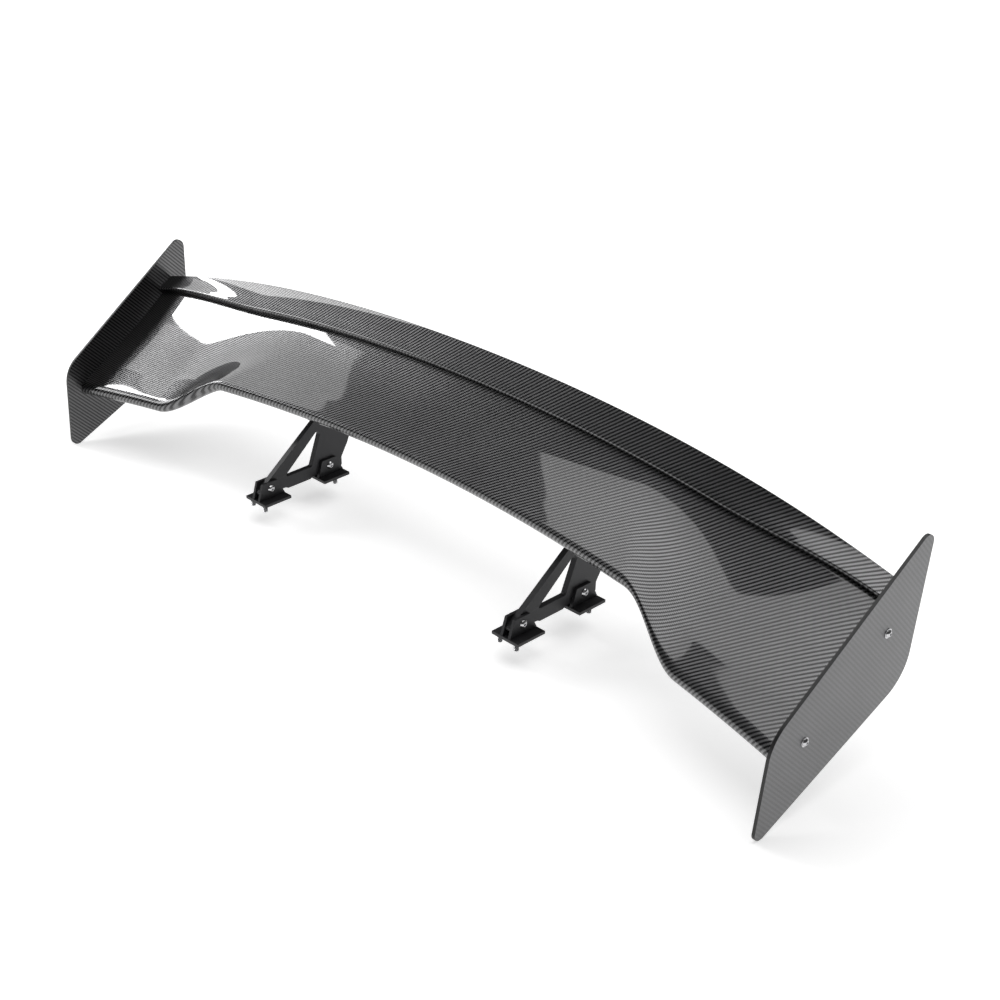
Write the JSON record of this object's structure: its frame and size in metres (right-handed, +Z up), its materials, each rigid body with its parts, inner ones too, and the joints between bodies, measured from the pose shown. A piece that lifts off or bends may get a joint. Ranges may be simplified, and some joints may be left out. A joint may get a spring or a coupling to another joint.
{
  "type": "racing rear wing",
  "caption": "Slotted carbon rear wing with a raised centre, dropped outer sections and end plates, held on two open-frame stands with tilting foot brackets.",
  "frame": {"origin": "centre of the four-foot stud pattern, on the underside of the foot bases", "axes": "+X to the right along the span, -Y forward to the leading edge, +Z up"},
  "size_m": [1.619, 0.2979, 0.3392],
  "materials": {
    "gloss_twill_skin": "woven carbon twill under clear gloss lacquer",
    "satin_twill_plate": "woven carbon twill plate, lacquered",
    "plain_composite": "moulded carbon composite, unpolished",
    "bare_aluminium": "machined",
    "foam_core": "rigid foam",
    "brass_insert": "turned",
    "black_anodised": "satin black anodised",
    "stainless": "stainless fasteners"
  },
  "bodies": {
    "stands": {"stand_left": "black_anodised", "stand_right": "black_anodised"},
    "wing": {"main_upper_skin": "gloss_twill_skin", "main_lower_skin": "gloss_twill_skin", "front_spar": "plain_composite", "rear_spar": "plain_composite", "end_rib_left": "bare_aluminium", "end_rib_right": "bare_aluminium", "mount_block_left": "bare_aluminium", "mount_block_right": "bare_aluminium", "flap_upper_skin": "gloss_twill_skin", "flap_lower_skin": "gloss_twill_skin", "flap_core": "foam_core", "slot_bracket_left": "plain_composite", "slot_bracket_centre": "plain_composite", "slot_bracket_right": "plain_composite", "end_bracket_left": "plain_composite", "end_bracket_right": "plain_composite", "endplate_left": "satin_twill_plate", "endplate_right": "satin_twill_plate", "rib_inserts": "brass_insert", "endplate_front_bolts": "stainless", "endplate_rear_bolts": "stainless", "endplate_washers": "stainless", "wing_bracket_left": "black_anodised", "wing_bracket_right": "black_anodised", "bracket_screws": "stainless", "pivot_bolts": "stainless", "pitch_lock_bolts": "stainless", "pivot_nuts": "stainless", "pitch_lock_nuts": "stainless"},
    "foot_front_left": {"foot_front_left": "black_anodised", "bolt_front_left": "stainless", "nut_front_left": "stainless", "studs_front_left": "stainless"},
    "foot_front_right": {"foot_front_right": "black_anodised", "bolt_front_right": "stainless", "nut_front_right": "stainless", "studs_front_right": "stainless"},
    "foot_rear_left": {"foot_rear_left": "black_anodised", "bolt_rear_left": "stainless", "nut_rear_left": "stainless", "studs_rear_left": "stainless"},
    "foot_rear_right": {"foot_rear_right": "black_anodised", "bolt_rear_right": "stainless", "nut_rear_right": "stainless", "studs_rear_right": "stainless"}
  },
  "joints": [
    {"name": "wing_pitch", "type": "hinge", "parent": "stands", "child": "wing", "pos_m": [0, 0.086, 0.13], "axis": [1, 0, 0], "range_deg": [-8, 8]},
    {"name": "tilt_front_left", "type": "hinge", "parent": "stands", "child": "foot_front_left", "pos_m": [-0.301, -0.0565, 0.022], "axis": [1, 0, 0], "range_deg": [-7, 7]},
    {"name": "tilt_front_right", "type": "hinge", "parent": "stands", "child": "foot_front_right", "pos_m": [0.301, -0.0565, 0.022], "axis": [1, 0, 0], "range_deg": [-7, 7]},
    {"name": "tilt_rear_left", "type": "hinge", "parent": "stands", "child": "foot_rear_left", "pos_m": [-0.301, 0.0725, 0.022], "axis": [1, 0, 0], "range_deg": [-7, 7]},
    {"name": "tilt_rear_right", "type": "hinge", "parent": "stands", "child": "foot_rear_right", "pos_m": [0.301, 0.0725, 0.022], "axis": [1, 0, 0], "range_deg": [-7, 7]}
  ]
}
